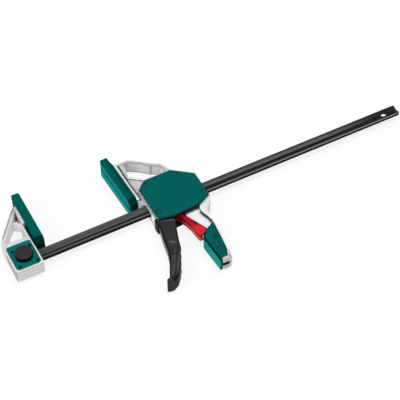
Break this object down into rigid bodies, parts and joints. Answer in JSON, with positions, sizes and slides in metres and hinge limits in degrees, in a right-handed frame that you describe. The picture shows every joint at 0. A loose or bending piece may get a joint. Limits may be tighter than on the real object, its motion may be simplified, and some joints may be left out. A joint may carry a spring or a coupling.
{
  "type": "quick release bar clamp",
  "caption": "One-handed bar clamp: fixed jaw with lock button, sliding jaw head with trigger, release lever and grip, on an I-section bar",
  "frame": {"origin": "centre of the fixed jaw's clamping face", "axes": "+X along the bar from the fixed jaw to the tail and out of the fixed clamping face, +Y out of the jaws away from the handle, +Z out of the front cover"},
  "size_m": [0.669, 0.2571, 0.0387],
  "materials": {
    "bar_finish": "satin black paint",
    "castings": "bead-blasted die casting",
    "jaw_colour": "satin teal green",
    "pad_colour": "matt teal green",
    "grip_colour": "matt teal green",
    "black_plastic": "matt",
    "trigger_plastic": "matt, lightly grained",
    "lever_red": "semi-gloss",
    "steel_parts": "ground",
    "fasteners": "blackened",
    "spring_wire": "drawn"
  },
  "bodies": {
    "bar_assembly": {"bar": "bar_finish", "stop_pin": "steel_parts", "fixed_jaw": "castings", "fixed_jaw_plate": "jaw_colour", "plate_screws": "fasteners", "fixed_pad": "pad_colour", "button_spring": "spring_wire"},
    "lock_button": {"release_button": "black_plastic", "lock_yoke": "steel_parts"},
    "head": {"head_frame": "castings", "front_cover": "jaw_colour", "back_cover": "jaw_colour", "cover_screws": "fasteners", "moving_pad": "pad_colour", "front_grip": "grip_colour", "back_grip": "grip_colour", "grip_screws": "fasteners", "front_guide": "black_plastic", "rear_guide": "black_plastic", "trigger_pin": "steel_parts", "lever_pin": "steel_parts", "brake_pin": "steel_parts", "drive_spring": "spring_wire", "brake_spring": "spring_wire"},
    "trigger": {"trigger": "trigger_plastic"},
    "drive": {"drive_plates": "steel_parts"},
    "lever": {"release_lever": "lever_red"},
    "brake": {"brake_plate": "steel_parts"}
  },
  "joints": [
    {"name": "head_slide", "type": "slide", "parent": "bar_assembly", "child": "head", "axis": [1, 0, 0], "range_m": [-0.1343, 0.308]},
    {"name": "trigger_pivot", "type": "hinge", "parent": "head", "child": "trigger", "pos_m": [0.184, -0.0465, 0], "axis": [0, 0, 1], "range_deg": [0, 17], "stiffness_Nm_per_rad": 0.6, "springref_deg": -11.46},
    {"name": "drive_slide", "type": "slide", "parent": "head", "child": "drive", "axis": [1, 0, 0], "range_m": [0, 0.0085], "deforming": ["drive_spring"]},
    {"name": "lever_pivot", "type": "hinge", "parent": "head", "child": "lever", "pos_m": [0.214, -0.1405, 0], "axis": [0, 0, -1], "range_deg": [0, 5], "stiffness_Nm_per_rad": 0.5, "springref_deg": -11.46},
    {"name": "brake_swing", "type": "hinge", "parent": "head", "child": "brake", "pos_m": [0.234, -0.0495, 0], "axis": [0, 0, 1], "range_deg": [0, 7.2], "deforming": ["brake_spring"]},
    {"name": "lock_press", "type": "slide", "parent": "bar_assembly", "child": "lock_button", "axis": [0, 0, -1], "range_m": [0, 0.003], "stiffness_N_per_m": 800, "springref_m": -0.004, "deforming": ["button_spring"]}
  ],
  "couplings": [
    {"joint": "drive_slide", "follows": "trigger_pivot", "m_per_rad": 0.027},
    {"joint": "brake_swing", "follows": "lever_pivot", "ratio": 1.42}
  ]
}
